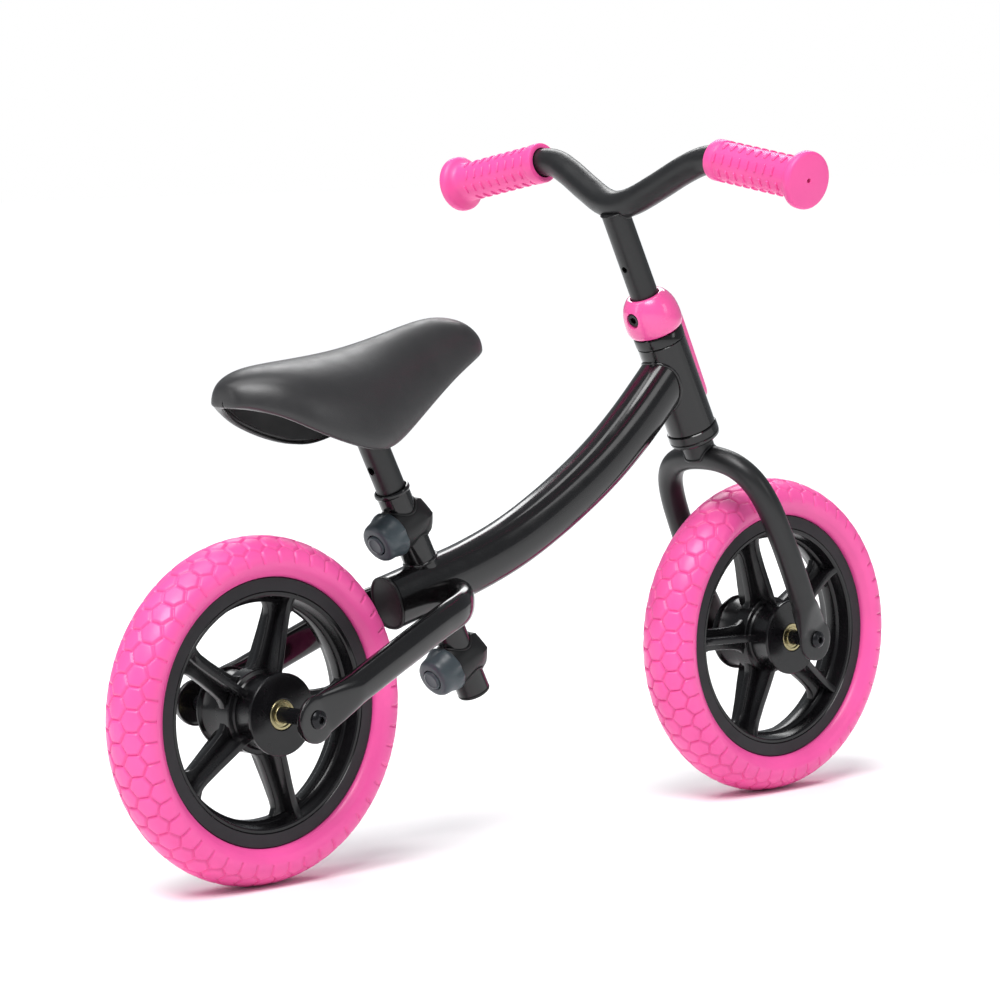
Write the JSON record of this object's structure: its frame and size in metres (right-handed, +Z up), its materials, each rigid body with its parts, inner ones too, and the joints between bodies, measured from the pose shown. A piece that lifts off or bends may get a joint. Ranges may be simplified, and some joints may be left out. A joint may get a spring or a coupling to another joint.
{
  "type": "balance bike",
  "caption": "Child's pedal-less balance bike: foam tyres on spoked plastic wheels, bent tube frame, steering fork, height-adjustable handlebar and saddle with turn-knob clamps.",
  "frame": {"origin": "on the ground, midway between the two wheel axles, in the plane of symmetry", "axes": "+X points forward to the front wheel, +Y to the rider's left, +Z up"},
  "size_m": [0.7874, 0.3946, 0.5283],
  "materials": {
    "foam_pink": "matt closed-cell foam, light sheen",
    "grip_pink": "satin soft rubber",
    "collar_pink": "glossy moulded plastic",
    "rim_black": "moulded plastic, matt outer face and glossier bore",
    "gloss_black": "glossy dark paint on steel",
    "satin_black": "satin dark paint on steel",
    "saddle_black": "fine-grained soft cover",
    "plastic_black": "matt moulded plastic",
    "knob_grey": "matt blue-grey moulded plastic",
    "zinc_gold": "yellow-plated bearing ring",
    "bolt_black": "dark steel"
  },
  "bodies": {
    "frame": {"main_tube": "gloss_black", "main_tube_plug": "plastic_black", "stay_right": "gloss_black", "stay_left": "gloss_black", "head_tube": "gloss_black", "headset_cup_upper": "plastic_black", "headset_cup_lower": "plastic_black", "seat_tube": "gloss_black", "seat_tube_plug": "plastic_black", "clamp_upper": "plastic_black", "clamp_lower": "plastic_black", "rear_axle": "bolt_black", "rear_axle_sleeve": "plastic_black", "rear_spacer_left": "bolt_black", "rear_spacer_right": "bolt_black", "rear_bolt_left": "bolt_black", "rear_bolt_right": "bolt_black"},
    "fork": {"fork": "satin_black", "steerer_tube": "satin_black", "collar_shield": "collar_pink", "collar_bolt": "bolt_black", "front_axle": "bolt_black", "front_axle_sleeve": "plastic_black", "front_spacer_left": "bolt_black", "front_spacer_right": "bolt_black", "front_bolt_left": "bolt_black", "front_bolt_right": "bolt_black"},
    "handlebar": {"handlebar": "satin_black", "grip_right": "grip_pink", "grip_left": "grip_pink"},
    "front_wheel": {"front_tyre": "foam_pink", "front_rim": "rim_black", "front_bearing_left": "zinc_gold", "front_bearing_right": "zinc_gold"},
    "rear_wheel": {"rear_tyre": "foam_pink", "rear_rim": "rim_black", "rear_bearing_left": "zinc_gold", "rear_bearing_right": "zinc_gold"},
    "saddle": {"seat_post": "satin_black", "saddle_base": "plastic_black", "saddle_pad": "saddle_black"},
    "upper_knob": {"knob_upper": "knob_grey", "knob_cap_upper": "knob_grey", "knob_screw_upper": "bolt_black"},
    "lower_knob": {"knob_lower": "knob_grey", "knob_cap_lower": "knob_grey", "knob_screw_lower": "bolt_black"}
  },
  "joints": [
    {"name": "steering", "type": "hinge", "parent": "frame", "child": "fork", "pos_m": [0.1955, 0, 0.2815], "axis": [-0.4195, 0, 0.9078], "range_deg": [-60, 60]},
    {"name": "handlebar_height", "type": "slide", "parent": "fork", "child": "handlebar", "axis": [-0.4195, 0, 0.9078], "range_m": [-0.04, 0]},
    {"name": "front_wheel_spin", "type": "hinge", "parent": "fork", "child": "front_wheel", "pos_m": [0.2667, 0, 0.127], "axis": [0, 1, 0], "continuous": true},
    {"name": "rear_wheel_spin", "type": "hinge", "parent": "frame", "child": "rear_wheel", "pos_m": [-0.2667, 0, 0.127], "axis": [0, 1, 0], "continuous": true},
    {"name": "saddle_height", "type": "slide", "parent": "frame", "child": "saddle", "axis": [-0.4368, 0, 0.8996], "range_m": [-0.051, 0.0255]},
    {"name": "upper_knob_turn", "type": "hinge", "parent": "frame", "child": "upper_knob", "pos_m": [-0.13629, 0, 0.24139], "axis": [-0.8996, 0, -0.4368], "range_deg": [0, 900]},
    {"name": "lower_knob_turn", "type": "hinge", "parent": "frame", "child": "lower_knob", "pos_m": [-0.08471, 0, 0.13515], "axis": [-0.8996, 0, -0.4368], "range_deg": [0, 900]}
  ]
}
